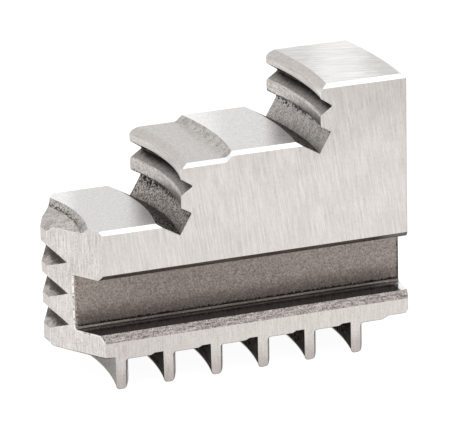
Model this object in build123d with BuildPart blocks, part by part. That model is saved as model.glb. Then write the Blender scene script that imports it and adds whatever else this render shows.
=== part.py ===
from build123d import *
from math import hypot, pi, radians, sqrt, tan
import os

# Hard outside jaw of a self-centring lathe chuck, one piece of ground steel.
# Millimetres. The tip points to -X, the steps rise to +X, the scroll teeth hang below the foot.
# The origin is under the middle of the jaw's length and width, at the level of the tooth tips.
# The gripping faces, serrations, undercuts and the outer end are all turned about the chuck's axis,
# an upright line ahead of the tip, so their sizes are radii from that axis and heights.

# Outline seen from above
JAW_LENGTH = 58.2
JAW_WIDTH = 22.8
TIP_RADIUS = 25.3
TIP_LAND_WIDTH = 3.1
WEDGE_ANGLE = 60.0

# Heights, each above the one before it, from the tooth tips to the top
TOOTH_HEIGHT = 4.85
FOOT_THICKNESS = 4.15
GROOVE_HEIGHT = 9.1
BODY_HEIGHT = 8.1
MIDDLE_STEP_HEIGHT = 10.1
TOP_STEP_HEIGHT = 8.9

# Guide grooves along both sides
WEB_THICKNESS = 12.0
WEB_ROOT_RADIUS = 0.5
FOOT_CHAMFER_WIDTH = 0.95
FOOT_CHAMFER_HEIGHT = 1.2
BODY_CHAMFER_WIDTH = 0.9
BODY_CHAMFER_HEIGHT = 0.9

# Gripping faces of the middle and the top step
MIDDLE_GRIP_RADIUS = 45.65
TOP_GRIP_RADIUS = 68.95
SERRATION_DEPTH = 2.05
UNDERCUT_ANGLE = 30.5
UNDERCUT_WIDTH = 3.85
UNDERCUT_DEPTH = 2.0
CREST_WIDTH = 1.15
CREST_HEIGHT = 0.95
CREST_ROUNDING = 1.0
LAND_ROUNDING = 0.55
# Largest parts of the upper land's height that these two roundings may take as their radius
CREST_ROUNDING_SHARE = 0.85
LAND_ROUNDING_SHARE = 0.45
SERRATION_ROOT_RADIUS = 0.2
UNDERCUT_CORNER_RADIUS = 0.25
# Height of the undercut's mouth above the floor in front of the gripping face
UNDERCUT_MOUTH = 2.05
# Place of the serration's root between that mouth and the crest, as a part of the face there
SERRATION_PLACE = 0.548
# Half the height of a serration's mouth
SERRATION_FLANK = 1.4

# Lowered surfaces from the tip and from the middle gripping face up to the top of their ramps,
# and the run-out radius of the tool that turned them
RELIEF_DEPTH = 0.95
FIRST_LOWERED_WIDTH = 5.6
SECOND_LOWERED_WIDTH = 8.55
RAMP_SLOPE = 45.0
RAMP_TOOL_RADIUS = 1.2

# Serrations of the tip, the lowest one measured from the underside
TIP_LOWEST_ROOT = 4.2
TIP_SERRATION_DEPTH = 2.45
TIP_SERRATION_PITCH = 5.15
TIP_FLANK_ABOVE = 2.15
TIP_FLANK_BELOW = 1.3
TIP_TOP_CHAMFER = 1.0
TIP_BOTTOM_CHAMFER = 0.45
TIP_BOTTOM_ROUNDING = 0.5

# Scroll teeth
SCROLL_PITCH = 8.0
FIRST_TOOTH_RADIUS = 34.1
TOOTH_THICKNESS = 3.4
INNER_FLANK_RADIUS = 54.0
OUTER_FLANK_RADIUS = 27.0
TOOTH_TIP_RADIUS = 0.6
TOOTH_ROOT_RADIUS = 0.4
# Largest part of a tooth's end thickness that the rounding of one flank takes
TOOTH_TIP_SHARE = 0.35
# Least distance from the last tooth to the outer end
LAST_TOOTH_MARGIN = 3.0
ROOT_RELIEF_DEPTH = 0.3
ROOT_RELIEF_WIDTH = 1.4
END_RELIEF_DEPTH = 0.5
# Slope of the run-out of these reliefs
ROOT_RELIEF_SLOPE = 25.0

# Edge breaks
SIDE_CHAMFER = 0.6
SIDE_CHAMFER_BEND = 1.0
END_CHAMFER_WIDTH = 1.0
END_CHAMFER_HEIGHT = 0.7
FOOT_END_CHAMFER = 0.6

# Space for cutting tools to pass beyond the metal
PASS_CLEARANCE = 2.0
# Distance within which two points count as one
TOLERANCE = 0.01


def arc_height(radius, half_chord):
    """Height of a circle's arc over its chord."""
    return radius - sqrt(radius**2 - half_chord**2)


# Places that follow from the sizes above
FOOT_TOP = TOOTH_HEIGHT + FOOT_THICKNESS
GROOVE_TOP = FOOT_TOP + GROOVE_HEIGHT
FIRST_FLOOR = GROOVE_TOP + BODY_HEIGHT
SECOND_FLOOR = FIRST_FLOOR + MIDDLE_STEP_HEIGHT
JAW_HEIGHT = SECOND_FLOOR + TOP_STEP_HEIGHT
HALF_LENGTH = JAW_LENGTH / 2
HALF_WIDTH = JAW_WIDTH / 2
AXIS_X = -HALF_LENGTH - TIP_RADIUS
OUTER_RADIUS = TIP_RADIUS + JAW_LENGTH
WEDGE_LENGTH = (HALF_WIDTH - TIP_LAND_WIDTH / 2) / tan(radians(WEDGE_ANGLE))
SHOULDER_X = -HALF_LENGTH + WEDGE_LENGTH
OUTER_CORNER_X = AXIS_X + sqrt(OUTER_RADIUS**2 - HALF_WIDTH**2)
END_HEIGHT = TOOTH_HEIGHT + END_RELIEF_DEPTH
TIP_HEIGHT = FIRST_FLOOR - RELIEF_DEPTH
TIP_SERRATIONS_HEIGHT = TIP_HEIGHT - TIP_TOP_CHAMFER - TIP_FLANK_ABOVE - END_HEIGHT - TIP_LOWEST_ROOT
TIP_SERRATIONS = int(TIP_SERRATIONS_HEIGHT / TIP_SERRATION_PITCH) + 1
FACE_HEIGHT = min(MIDDLE_STEP_HEIGHT - RELIEF_DEPTH, TOP_STEP_HEIGHT) - UNDERCUT_MOUTH - CREST_HEIGHT
UPPER_LAND_HEIGHT = (1 - SERRATION_PLACE) * FACE_HEIGHT - SERRATION_FLANK
CREST_RADIUS = min(CREST_ROUNDING, CREST_ROUNDING_SHARE * UPPER_LAND_HEIGHT)
LAND_RADIUS = min(LAND_ROUNDING, LAND_ROUNDING_SHARE * UPPER_LAND_HEIGHT)
FIRST_RAMP_RADIUS = TIP_RADIUS + FIRST_LOWERED_WIDTH
SECOND_RAMP_RADIUS = MIDDLE_GRIP_RADIUS + SECOND_LOWERED_WIDTH
# A spiral crosses the jaw slightly askew: its arcs are centred this far off the middle plane
SCROLL_OFFSET = SCROLL_PITCH / (2 * pi)
TEETH_LENGTH = OUTER_RADIUS - LAST_TOOTH_MARGIN - TOOTH_THICKNESS - FIRST_TOOTH_RADIUS
TOOTH_COUNT = int(TEETH_LENGTH / SCROLL_PITCH) + 1
TOOTH_END_THICKNESS = (
    TOOTH_THICKNESS
    + arc_height(INNER_FLANK_RADIUS, HALF_WIDTH + SCROLL_OFFSET)
    - arc_height(OUTER_FLANK_RADIUS, HALF_WIDTH + SCROLL_OFFSET)
)
TIP_ROUNDING = min(TOOTH_TIP_RADIUS, TOOTH_TIP_SHARE * TOOTH_END_THICKNESS)
# Corners of an undercut: distance behind the gripping face and height above the floor
INTO_UNDERCUT = Vector(1, 0).rotate(Axis.Z, -UNDERCUT_ANGLE)
ACROSS_UNDERCUT = Vector(0, -1).rotate(Axis.Z, -UNDERCUT_ANGLE)
UPPER_CORNER = Vector(0, UNDERCUT_MOUTH) + INTO_UNDERCUT * UNDERCUT_DEPTH
LOWER_CORNER = UPPER_CORNER + ACROSS_UNDERCUT * UNDERCUT_WIDTH
FLOOR_EDGE = LOWER_CORNER.X + LOWER_CORNER.Y / tan(radians(UNDERCUT_ANGLE))
TIP_BOTTOM_CORNER = (AXIS_X + TIP_RADIUS, END_HEIGHT + TIP_BOTTOM_CHAMFER)

# Height from an edge of a side down to where the slanting cut of its chamfer starts
SIDE_DROP = SIDE_CHAMFER + PASS_CLEARANCE

chuck_axis = Axis((AXIS_X, 0, 0), (0, 0, 1))


def turned(radius, height):
    """Point of a turned profile, from its radius about the chuck's axis and its height."""
    return (AXIS_X + radius, height)


def at_side(radius, height):
    """Point on a side of the jaw, from its radius about the chuck's axis and its height."""
    return (AXIS_X + sqrt(radius**2 - HALF_WIDTH**2), height)


def crest(grip_radius, crest_height):
    """Lower and upper corner of the break at the top of a gripping face."""
    return [
        turned(grip_radius, crest_height - CREST_HEIGHT),
        turned(grip_radius + CREST_WIDTH, crest_height),
    ]


def lands(grip_radius, floor_height, crest_height):
    """Corners of the two lands of a gripping face: the mouth of the undercut, then the lower and
    the upper edge of the serration."""
    mouth_height = floor_height + UNDERCUT_MOUTH
    face_height = crest_height - CREST_HEIGHT - mouth_height
    root_height = mouth_height + SERRATION_PLACE * face_height
    return [
        turned(grip_radius, mouth_height),
        turned(grip_radius, root_height - SERRATION_FLANK),
        turned(grip_radius, root_height + SERRATION_FLANK),
    ]


def serration_root(grip_radius, floor_height, crest_height):
    """Root of a gripping face's serration, midway between the edges of its mouth."""
    _, lower_edge, upper_edge = lands(grip_radius, floor_height, crest_height)
    return turned(grip_radius + SERRATION_DEPTH, (lower_edge[1] + upper_edge[1]) / 2)


def undercut_corner(grip_radius, floor_height):
    """Upper inner corner of the undercut below a gripping face."""
    return turned(grip_radius + UPPER_CORNER.X, floor_height + UPPER_CORNER.Y)


def gripping_face(grip_radius, floor_height, crest_height):
    """Profile of one gripping face from the edge of its floor, through the slanted undercut
    and the serration, up to the crest."""
    mouth, lower_edge, upper_edge = lands(grip_radius, floor_height, crest_height)
    return [
        turned(grip_radius + FLOOR_EDGE, floor_height),
        turned(grip_radius + LOWER_CORNER.X, floor_height + LOWER_CORNER.Y),
        undercut_corner(grip_radius, floor_height),
        mouth,
        lower_edge,
        serration_root(grip_radius, floor_height, crest_height),
        upper_edge,
        *crest(grip_radius, crest_height),
    ]


def tip_serrations():
    """Profile of the tip from its bottom chamfer, over the serrations, to its top chamfer."""
    points = [
        turned(TIP_RADIUS + TIP_BOTTOM_CHAMFER, END_HEIGHT),
        TIP_BOTTOM_CORNER,
    ]
    for index in range(TIP_SERRATIONS):
        root_height = END_HEIGHT + TIP_LOWEST_ROOT + index * TIP_SERRATION_PITCH
        points += [
            turned(TIP_RADIUS, root_height - TIP_FLANK_BELOW),
            turned(TIP_RADIUS + TIP_SERRATION_DEPTH, root_height),
            turned(TIP_RADIUS, root_height + TIP_FLANK_ABOVE),
        ]
    points += [
        turned(TIP_RADIUS, TIP_HEIGHT - TIP_TOP_CHAMFER),
        turned(TIP_RADIUS + TIP_TOP_CHAMFER, TIP_HEIGHT),
    ]
    return points


def ramp(ramp_radius, floor_height, place=turned):
    """Foot and upper end of the slope that leads from a lowered surface up to its floor."""
    foot_radius = ramp_radius - RELIEF_DEPTH / tan(radians(RAMP_SLOPE))
    return [
        place(foot_radius, floor_height - RELIEF_DEPTH),
        place(ramp_radius, floor_height),
    ]


def flank_circle(crown_radius, flank_radius, mode=Mode.ADD):
    """Circle of a tooth flank, whose crown lies at a radius about the chuck's axis."""
    with Locations((AXIS_X + crown_radius - flank_radius, SCROLL_OFFSET)):
        Circle(flank_radius, mode=mode)


def tooth_crown(index):
    """Radius about the chuck's axis of a tooth's inner flank, at its crown."""
    return FIRST_TOOTH_RADIUS + index * SCROLL_PITCH


def ahead_of_tooth(index):
    """Everything on the chuck's side of a tooth's inner flank, or the whole plan past the last."""
    if index < TOOTH_COUNT:
        flank_circle(tooth_crown(index), INNER_FLANK_RADIUS)
    else:
        Rectangle(2 * JAW_LENGTH, 2 * JAW_WIDTH)


def end_break(height, width, rise):
    """Corners of the triangle that breaks the edge of the outer end at a height. A negative rise
    breaks an edge from below."""
    overrun = PASS_CLEARANCE / width
    return [
        turned(OUTER_RADIUS - width * (1 + overrun), height + rise * overrun),
        turned(OUTER_RADIUS + width * overrun, height - rise * (1 + overrun)),
        turned(OUTER_RADIUS + width * overrun, height + rise * overrun),
    ]


def side_break(run):
    """Corners of the slanting cut that breaks the edge of a side along a run of points, in the
    plane where the cut starts, clear of the side."""
    start_x, end_x, top = run[0][0], run[-1][0], run[-1][1]
    return [*[(x, height - SIDE_DROP) for x, height in run], (end_x, top), (start_x, top)]


def is_web_root(vertex):
    """Whether a corner of the cross-section is where the web stands on the foot."""
    beside_web = abs(abs(vertex.X) - WEB_THICKNESS / 2) < TOLERANCE
    return beside_web and abs(vertex.Y - FOOT_TOP) < TOLERANCE


def is_among(corners):
    """Test of whether a vertex of a profile is one of the given corners."""
    return lambda vertex: any(
        (Vector(*corner) - Vector(vertex.X, vertex.Y)).length < TOLERANCE for corner in corners
    )


def is_tooth_tip(edge):
    """Whether an arc is the lower edge of a tooth flank."""
    return edge.bounding_box().max.Z < TOLERANCE


def is_tooth_root(edge):
    """Whether an arc is the upper edge of an outer tooth flank, on the underside of the foot."""
    level = abs(edge.center().Z - TOOTH_HEIGHT) < TOLERANCE
    return level and abs(edge.radius - OUTER_FLANK_RADIUS) < TOLERANCE


# Corners of the turned profile that are rounded
RAMP_FEET = [ramp(FIRST_RAMP_RADIUS, FIRST_FLOOR)[0], ramp(SECOND_RAMP_RADIUS, SECOND_FLOOR)[0]]
CREST_CORNERS = [
    *crest(MIDDLE_GRIP_RADIUS, SECOND_FLOOR - RELIEF_DEPTH),
    crest(TOP_GRIP_RADIUS, JAW_HEIGHT)[0],
]
LAND_CORNERS = [
    *lands(MIDDLE_GRIP_RADIUS, FIRST_FLOOR, SECOND_FLOOR - RELIEF_DEPTH),
    *lands(TOP_GRIP_RADIUS, SECOND_FLOOR, JAW_HEIGHT),
]
SERRATION_ROOTS = [
    serration_root(MIDDLE_GRIP_RADIUS, FIRST_FLOOR, SECOND_FLOOR - RELIEF_DEPTH),
    serration_root(TOP_GRIP_RADIUS, SECOND_FLOOR, JAW_HEIGHT),
]
UNDERCUT_CORNERS = [
    undercut_corner(MIDDLE_GRIP_RADIUS, FIRST_FLOOR),
    undercut_corner(TOP_GRIP_RADIUS, SECOND_FLOOR),
]

# Where the side chamfers bend along the ramps, in the plane where their cuts start
SIDE_BENDS = [
    (x, height - SIDE_DROP)
    for x, height in [
        *ramp(FIRST_RAMP_RADIUS, FIRST_FLOOR, at_side),
        *ramp(SECOND_RAMP_RADIUS, SECOND_FLOOR, at_side),
    ]
]

# What each side chamfer follows, from air ahead of its step to the gripping face or the outer end
SIDE_RUNS = [
    [
        at_side(TIP_RADIUS, TIP_HEIGHT),
        *ramp(FIRST_RAMP_RADIUS, FIRST_FLOOR, at_side),
        at_side(MIDDLE_GRIP_RADIUS, FIRST_FLOOR),
    ],
    [
        at_side(MIDDLE_GRIP_RADIUS - PASS_CLEARANCE, SECOND_FLOOR - RELIEF_DEPTH),
        *ramp(SECOND_RAMP_RADIUS, SECOND_FLOOR, at_side),
        at_side(TOP_GRIP_RADIUS, SECOND_FLOOR),
    ],
    [
        at_side(TOP_GRIP_RADIUS - PASS_CLEARANCE, JAW_HEIGHT),
        at_side(OUTER_RADIUS + PASS_CLEARANCE, JAW_HEIGHT),
    ],
]


with BuildPart() as jaw:
    # Blank: wedge-shaped tip, straight sides, turned outer end
    with BuildSketch(Plane.XY):
        with BuildLine():
            Polyline(
                (OUTER_CORNER_X, HALF_WIDTH),
                (SHOULDER_X, HALF_WIDTH),
                (-HALF_LENGTH, TIP_LAND_WIDTH / 2),
                (-HALF_LENGTH, -TIP_LAND_WIDTH / 2),
                (SHOULDER_X, -HALF_WIDTH),
                (OUTER_CORNER_X, -HALF_WIDTH),
            )
            ThreePointArc(
                (OUTER_CORNER_X, -HALF_WIDTH), (HALF_LENGTH, 0), (OUTER_CORNER_X, HALF_WIDTH)
            )
        make_face()
    extrude(amount=JAW_HEIGHT)

    # Cross-section: foot, web between the guide grooves, and body
    with BuildSketch(Plane.YZ.offset(-HALF_LENGTH)) as section:
        with BuildLine() as outline:
            Polyline(
                (0, 0),
                (HALF_WIDTH, 0),
                (HALF_WIDTH, FOOT_TOP - FOOT_CHAMFER_HEIGHT),
                (HALF_WIDTH - FOOT_CHAMFER_WIDTH, FOOT_TOP),
                (WEB_THICKNESS / 2, FOOT_TOP),
                (WEB_THICKNESS / 2, GROOVE_TOP),
                (HALF_WIDTH - BODY_CHAMFER_WIDTH, GROOVE_TOP),
                (HALF_WIDTH, GROOVE_TOP + BODY_CHAMFER_HEIGHT),
                (HALF_WIDTH, JAW_HEIGHT),
                (0, JAW_HEIGHT),
            )
            mirror(about=Plane.YZ)
        make_face()
        fillet(section.vertices().filter_by(is_web_root), WEB_ROOT_RADIUS)
    extrude(amount=JAW_LENGTH, mode=Mode.INTERSECT)

    # Turned steps
    with BuildSketch(Plane.XZ) as chip_space:
        with BuildLine():
            Polyline(
                turned(TIP_RADIUS - PASS_CLEARANCE, -PASS_CLEARANCE),
                turned(TIP_RADIUS + TIP_BOTTOM_CHAMFER, -PASS_CLEARANCE),
                *tip_serrations(),
                *ramp(FIRST_RAMP_RADIUS, FIRST_FLOOR),
                *gripping_face(MIDDLE_GRIP_RADIUS, FIRST_FLOOR, SECOND_FLOOR - RELIEF_DEPTH),
                *ramp(SECOND_RAMP_RADIUS, SECOND_FLOOR),
                *gripping_face(TOP_GRIP_RADIUS, SECOND_FLOOR, JAW_HEIGHT),
                turned(TOP_GRIP_RADIUS + CREST_WIDTH, JAW_HEIGHT + PASS_CLEARANCE),
                turned(TIP_RADIUS - PASS_CLEARANCE, JAW_HEIGHT + PASS_CLEARANCE),
                close=True,
            )
        make_face()
        fillet(chip_space.vertices().filter_by(is_among(RAMP_FEET)), RAMP_TOOL_RADIUS)
        fillet(chip_space.vertices().filter_by(is_among(CREST_CORNERS)), CREST_RADIUS)
        fillet(chip_space.vertices().filter_by(is_among(LAND_CORNERS)), LAND_RADIUS)
        fillet(chip_space.vertices().filter_by(is_among(SERRATION_ROOTS)), SERRATION_ROOT_RADIUS)
        fillet(chip_space.vertices().filter_by(is_among(UNDERCUT_CORNERS)), UNDERCUT_CORNER_RADIUS)
        fillet(chip_space.vertices().filter_by(is_among([TIP_BOTTOM_CORNER])), TIP_BOTTOM_ROUNDING)
    revolve(axis=chuck_axis, mode=Mode.SUBTRACT)

    # Chamfers of the turned outer end
    with BuildSketch(Plane.XZ):
        with BuildLine():
            Polyline(*end_break(JAW_HEIGHT, END_CHAMFER_WIDTH, END_CHAMFER_HEIGHT), close=True)
        make_face()
        with BuildLine():
            Polyline(*end_break(END_HEIGHT, FOOT_END_CHAMFER, -FOOT_END_CHAMFER), close=True)
        make_face()
    revolve(axis=chuck_axis, mode=Mode.SUBTRACT)

    # Chamfers along the sides, following the lowered surfaces, the ramps and the floors
    for side in (-1, 1):
        with BuildSketch(Plane.XZ.offset(-side * (HALF_WIDTH + PASS_CLEARANCE))) as breaks:
            for run in SIDE_RUNS:
                with BuildLine():
                    Polyline(*side_break(run), close=True)
                make_face()
            fillet(breaks.vertices().filter_by(is_among(SIDE_BENDS)), SIDE_CHAMFER_BEND)
        cut_length = sqrt(2) * (SIDE_CHAMFER + 2 * PASS_CLEARANCE)
        extrude(amount=cut_length, dir=(0, -side, 1), mode=Mode.SUBTRACT)

    # Gaps between the scroll teeth, relieved ahead of each inner flank and at both ends
    for index in range(TOOTH_COUNT + 1):
        with BuildSketch(Plane.XY):
            ahead_of_tooth(index)
            if index > 0:
                inner_crown = tooth_crown(index - 1)
                flank_circle(inner_crown, INNER_FLANK_RADIUS, Mode.SUBTRACT)
                flank_circle(inner_crown + TOOTH_THICKNESS, OUTER_FLANK_RADIUS, Mode.SUBTRACT)
        extrude(amount=TOOTH_HEIGHT, mode=Mode.SUBTRACT)
        relief_crown = tooth_crown(index) - ROOT_RELIEF_WIDTH
        depth = ROOT_RELIEF_DEPTH if 0 < index < TOOTH_COUNT else END_RELIEF_DEPTH
        with BuildSketch(Plane.XY):
            ahead_of_tooth(index)
            if index > 0:
                flank_circle(relief_crown, INNER_FLANK_RADIUS, Mode.SUBTRACT)
        extrude(amount=TOOTH_HEIGHT + depth, mode=Mode.SUBTRACT)
        if index > 0:
            # Run-out of the relief: a slanting cut that starts as far below the gap's roof as the
            # relief is deep, and is wide enough to join the relief at the roof
            run_out = depth / tan(radians(ROOT_RELIEF_SLOPE))
            cut_width = (run_out + ROOT_RELIEF_WIDTH) / 2
            with BuildSketch(Plane.XY.offset(TOOTH_HEIGHT - depth)):
                flank_circle(relief_crown - 2 * run_out + cut_width, INNER_FLANK_RADIUS)
                flank_circle(relief_crown - 2 * run_out, INNER_FLANK_RADIUS, Mode.SUBTRACT)
            extrude(amount=2 * hypot(run_out, depth), dir=(run_out, 0, depth), mode=Mode.SUBTRACT)

    # Rounded roots behind the teeth and rounded tooth tips
    fillet(jaw.edges().filter_by(GeomType.CIRCLE).filter_by(is_tooth_root), TOOTH_ROOT_RADIUS)
    fillet(jaw.edges().filter_by(GeomType.CIRCLE).filter_by(is_tooth_tip), TIP_ROUNDING)

os.makedirs("parts", exist_ok=True)
jaw.part.label = "hard_jaw"
export_step(jaw.part, "parts/hard_jaw.step")
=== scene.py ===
"""Looks of the hard chuck jaw: ground sides and steps, turned gripping faces, milled guide grooves.

Metres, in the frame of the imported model: the tip points to -X, the steps rise to +X, Z is up.
"""

import logging
import math
from dataclasses import dataclass
from enum import Enum
from typing import ClassVar

import bmesh
import bpy
import numpy as np
from mathutils import Matrix, Vector


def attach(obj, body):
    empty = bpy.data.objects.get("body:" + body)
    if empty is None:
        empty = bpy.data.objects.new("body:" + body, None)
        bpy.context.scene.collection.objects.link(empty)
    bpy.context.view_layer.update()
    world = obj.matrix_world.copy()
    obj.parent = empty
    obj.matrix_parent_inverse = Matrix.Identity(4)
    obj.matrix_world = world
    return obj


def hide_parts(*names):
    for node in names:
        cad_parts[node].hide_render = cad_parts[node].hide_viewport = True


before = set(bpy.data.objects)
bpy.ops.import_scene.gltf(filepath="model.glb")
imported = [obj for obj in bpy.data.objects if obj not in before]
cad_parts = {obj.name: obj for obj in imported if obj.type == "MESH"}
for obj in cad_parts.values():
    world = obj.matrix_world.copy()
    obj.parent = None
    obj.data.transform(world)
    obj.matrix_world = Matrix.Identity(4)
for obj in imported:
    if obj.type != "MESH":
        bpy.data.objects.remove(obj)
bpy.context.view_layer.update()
log = logging.getLogger("hard_jaw")

MM = 0.001
WHITE = (1.0, 1.0, 1.0, 1.0)
Tree = bpy.types.NodeTree
Socket = bpy.types.NodeSocket
Triple = tuple[float, float, float]
Tone = Triple
Given = float | Triple | Socket


def linear(tone: Tone) -> tuple[float, float, float, float]:
    """Turns a tone as a screen shows it into the linear colour of a shader.

    Up to 0.04045 a part is divided by 12.92. Above, 0.055 is added, the sum is divided by 1.055
    and raised to the power of 2.4.

    Args:
        tone: red, green and blue, of 0 to 255.

    Returns:
        Red, green, blue and an opacity of 1.
    """
    parts = np.asarray(tone, float) / 255
    bent = np.where(parts <= 0.04045, parts / 12.92, ((parts + 0.055) / 1.055) ** 2.4)
    return (*(float(part) for part in bent), 1.0)


def put(name: str, data: bpy.types.ID) -> bpy.types.Object:
    """Puts a new object into the scene.

    Args:
        name: name of the object.
        data: its mesh, lamp or camera.

    Returns:
        The object.
    """
    thing = bpy.data.objects.new(name, data)
    bpy.context.scene.collection.objects.link(thing)
    return thing


def rows(items: bpy.types.bpy_prop_collection, name: str) -> np.ndarray:
    """Reads a property of three parts.

    Args:
        items: points of a mesh, or an attribute's data.
        name: name of the property.

    Returns:
        One row for each item.
    """
    values = np.zeros(len(items) * 3, np.float32)
    items.foreach_get(name, values)
    return values.reshape(-1, 3)


def between(values: np.ndarray, low: float, high: float) -> np.ndarray:
    """Tells which values lie between two limits."""
    return (values > low) & (values < high)


# Nodes


def add(
    tree: Tree, kind: str, sockets: dict[str | int, Given] | None = None, **settings: object
) -> bpy.types.Node:
    """Adds a node and fills its inputs.

    Args:
        tree: node tree of a material, of the world or of a group.
        kind: type of the node, without its ShaderNode prefix.
        sockets: value or joined output socket for each input, by name or number.
        settings: properties of the node itself, which are set first.

    Returns:
        The new node.
    """
    node = tree.nodes.new("ShaderNode" + kind)
    for name, value in settings.items():
        setattr(node, name, value)
    for key, value in (sockets or {}).items():
        if isinstance(value, Socket):
            tree.links.new(value, node.inputs[key])
        else:
            node.inputs[key].default_value = value
    return node


def math_node(tree: Tree, operation: str, *values: float | Socket) -> Socket:
    """Adds one step of arithmetic and returns its output."""
    return add(tree, "Math", dict(enumerate(values)), operation=operation).outputs[0]


def vector_node(tree: Tree, operation: str, first: Socket, second: Given) -> Socket:
    """Adds one step of vector arithmetic and returns its vector."""
    return add(tree, "VectorMath", {0: first, 1: second}, operation=operation).outputs[0]


def mask_node(tree: Tree, group: Tree, sockets: dict[str, Given]) -> Socket:
    """Places a shared group with its own values and returns its mask."""
    return add(tree, "Group", sockets, node_tree=group).outputs[0]


def spread(
    tree: Tree, value: Socket, low: float | Socket, high: float | Socket, smooth: bool = False
) -> Socket:
    """Stretches the range from low to high over 0 to 1, kept within it."""
    kind = "SMOOTHSTEP" if smooth else "LINEAR"
    return add(
        tree, "MapRange", {"Value": value, "From Min": low, "From Max": high}, interpolation_type=kind
    ).outputs[0]


def mix(tree: Tree, factor: Socket, first: Given, second: Given) -> Socket:
    """Mixes two colours by a factor and returns the mixed colour."""
    return add(tree, "Mix", {0: factor, 6: first, 7: second}, data_type="RGBA").outputs[2]


def streaks(tree: Tree, place: Socket, finer: float) -> Socket:
    """Gives marks: the sum of two sizes of noise, stretched from the middle of its range.

    Args:
        tree: tree of the group.
        place: place in the noise, in steps of the marks.
        finer: how many times as fine as the first noise the second is.

    Returns:
        The marks, 0 to 1.
    """
    coarse, fine = (
        add(tree, "TexNoise", {"Vector": place, "Scale": scale, "Detail": 2.0}).outputs[0]
        for scale in (1.0, finer)
    )
    shares = math_node(tree, "MULTIPLY", coarse, 0.55), math_node(tree, "MULTIPLY", fine, 0.45)
    return spread(tree, math_node(tree, "ADD", *shares), 0.34, 0.66)


def open_group(
    name: str, inputs: dict[str, float | Triple], output: str
) -> tuple[Tree, bpy.types.Node, bpy.types.Node]:
    """Starts a shared node group that makes a mask from a place.

    Args:
        name: plain name of the effect.
        inputs: value of each named input after the place.
        output: name of the mask.

    Returns:
        The tree, the node with its inputs and the node that takes its output.
    """
    tree = bpy.data.node_groups.new(name, "ShaderNodeTree")
    tree.interface.new_socket("Vector", in_out="INPUT", socket_type="NodeSocketVector")
    for label, value in inputs.items():
        kind = "NodeSocketFloat" if isinstance(value, float) else "NodeSocketVector"
        tree.interface.new_socket(label, in_out="INPUT", socket_type=kind).default_value = value
    tree.interface.new_socket(output, in_out="OUTPUT", socket_type="NodeSocketFloat")
    return tree, tree.nodes.new("NodeGroupInput"), tree.nodes.new("NodeGroupOutput")


def grain_group() -> Tree:
    """Makes the grinding marks: noise of the place in mm divided by a step in each direction, so
    that it is drawn out along the longest. The finer noise is about a third as wide.

    Returns:
        The group, from a place and a step to the marks.
    """
    tree, given, result = open_group("grinding_marks", {"Step": (1.0, 1.0, 1.0)}, "Marks")
    in_mm = add(tree, "VectorMath", {0: given.outputs[0], 3: 1 / MM}, operation="SCALE").outputs[0]
    place = vector_node(tree, "DIVIDE", in_mm, given.outputs[1])
    tree.links.new(streaks(tree, place, 3.1), result.inputs[0])
    return tree


def turned_group() -> Tree:
    """Makes the marks of turning: the same noise on the radius about the chuck's axis, the length
    along the arc (the angle times the radius) and the height, so that it runs round the axis.

    Returns:
        The group, from a place, the axis and a step to the marks.
    """
    tree, given, result = open_group("turning_marks", {"Axis": 0.0, "Step": (1.0, 1.0, 1.0)}, "Marks")
    x, y, z = add(tree, "SeparateXYZ", {0: given.outputs[0]}).outputs[:3]
    ahead = math_node(tree, "SUBTRACT", x, given.outputs[1])
    squares = math_node(tree, "MULTIPLY", ahead, ahead), math_node(tree, "MULTIPLY", y, y)
    distance = math_node(tree, "SQRT", math_node(tree, "ADD", *squares))
    radius = math_node(tree, "DIVIDE", distance, MM)
    arc = math_node(tree, "MULTIPLY", math_node(tree, "ARCTAN2", y, ahead), radius)
    height = math_node(tree, "DIVIDE", z, MM)
    place = add(tree, "CombineXYZ", {0: radius, 1: arc, 2: height}).outputs[0]
    place = vector_node(tree, "DIVIDE", place, given.outputs[2])
    tree.links.new(streaks(tree, place, 2.9), result.inputs[0])
    return tree


def speckle_group() -> Tree:
    """Makes mottling and pits: noise of a size in mm, cut at a level with a soft edge.

    Returns:
        The group, from a place, a size, a level and a softness to the spots.
    """
    tree, given, result = open_group("speckle", {"Size": 0.5, "Level": 0.5, "Softness": 0.1}, "Spots")
    scale = math_node(tree, "DIVIDE", 1 / MM, given.outputs[1])
    sockets = {"Vector": given.outputs[0], "Scale": scale, "Detail": 3.0, "Roughness": 0.62}
    noise = add(tree, "TexNoise", sockets).outputs[0]
    low = math_node(tree, "SUBTRACT", given.outputs[2], given.outputs[3])
    high = math_node(tree, "ADD", given.outputs[2], given.outputs[3])
    tree.links.new(spread(tree, noise, low, high, smooth=True), result.inputs[0])
    return tree


# Finishes


class Run(Enum):
    """Way that the marks of a finish run: their step along X, Y and Z in mm. TURNED steps along
    the radius, the arc and the height."""

    UPRIGHT = (0.3, 0.3, 6.0)
    LENGTHWISE = (9.0, 0.35, 0.35)
    TURNED = (0.5, 12.0, 0.5)
    CAST = (0.32, 0.32, 0.32)
    SCUFFED = (1.8, 0.24, 0.24)
    SHORT = (0.27, 0.27, 2.6)


class Measure(Enum):
    """What a band of another tone is measured along, in mm: a direction, or a named attribute of
    the mesh."""

    HEIGHT = (0.0, 0.0, 1.0)
    LENGTH = (1.0, 0.0, 0.0)
    DIAGONAL = (1.0, -0.36, 0.0)
    TO_NEAR_SIDE = (0.0, -1.0, 0.0)
    BEHIND_FACE = "behind_face"
    ABOVE_FLOOR = "above_floor"

    def along(self, tree: Tree, place: Socket) -> Socket:
        """Measures a place: the attribute there, or the place's part along the direction.

        Args:
            tree: tree of the material.
            place: Object coordinates, in metres.

        Returns:
            The measure in mm.
        """
        if isinstance(self.value, str):
            return add(tree, "Attribute", attribute_name=self.value).outputs["Fac"]
        sockets = {0: place, 1: Vector(self.value) / MM}
        return add(tree, "VectorMath", sockets, operation="DOT_PRODUCT").outputs["Value"]


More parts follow.
